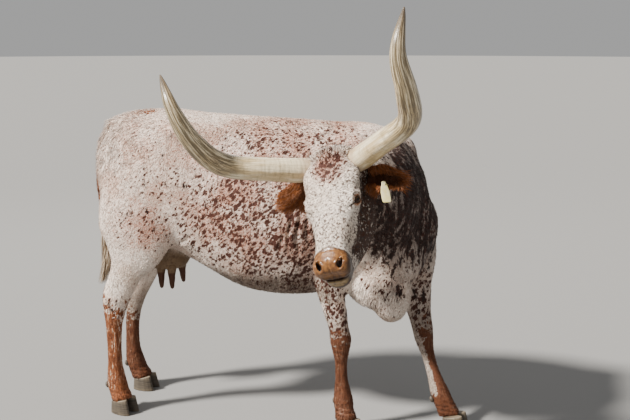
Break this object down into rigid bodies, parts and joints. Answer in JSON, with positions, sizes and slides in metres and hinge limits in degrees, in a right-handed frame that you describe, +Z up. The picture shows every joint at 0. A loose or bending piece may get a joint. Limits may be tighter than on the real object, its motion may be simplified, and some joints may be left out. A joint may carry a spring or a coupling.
{
  "type": "texas longhorn",
  "caption": "Life-size standing longhorn cow with wide upswept horns, head turned to her right, still model on four flat-soled feet.",
  "frame": {"origin": "on the floor, under the middle of the bounding box", "axes": "+Z up, +X from the tail towards the chest, +Y to the animal's left; the head is turned to face -Y"},
  "size_m": [1.7354, 1.2667, 1.8093],
  "materials": {
    "coat": "short flat fur, white with small red-brown flecks, lower legs red-brown",
    "hair": "long pale hair of the tail switch",
    "bare_skin": "nearly hairless tan skin",
    "ear_coat": "short mahogany fur",
    "horn": "ivory keratin with grey-brown streaks, half polished",
    "hoof": "dull grey-brown keratin",
    "eye": "wet dark eyeball",
    "tag": "pale yellow plate, blank"
  },
  "bodies": {
    "root": {"torso": "coat", "neck": "coat", "head": "coat", "leg_fore_left": "coat", "leg_fore_right": "coat", "leg_hind_left": "coat", "leg_hind_right": "coat", "tail": "coat", "tail_switch": "hair", "udder": "bare_skin", "ear_left": "ear_coat", "ear_right": "ear_coat", "eye_left": "eye", "eye_right": "eye", "horn_left": "horn", "horn_right": "horn", "ear_tag": "tag", "claw_fore_left_left": "hoof", "claw_fore_left_right": "hoof", "claw_fore_right_left": "hoof", "claw_fore_right_right": "hoof", "claw_hind_left_left": "hoof", "claw_hind_left_right": "hoof", "claw_hind_right_left": "hoof", "claw_hind_right_right": "hoof", "dewclaw_fore_left_left": "hoof", "dewclaw_fore_left_right": "hoof", "dewclaw_fore_right_left": "hoof", "dewclaw_fore_right_right": "hoof", "dewclaw_hind_left_left": "hoof", "dewclaw_hind_left_right": "hoof", "dewclaw_hind_right_left": "hoof", "dewclaw_hind_right_right": "hoof"}
  },
  "joints": []
}
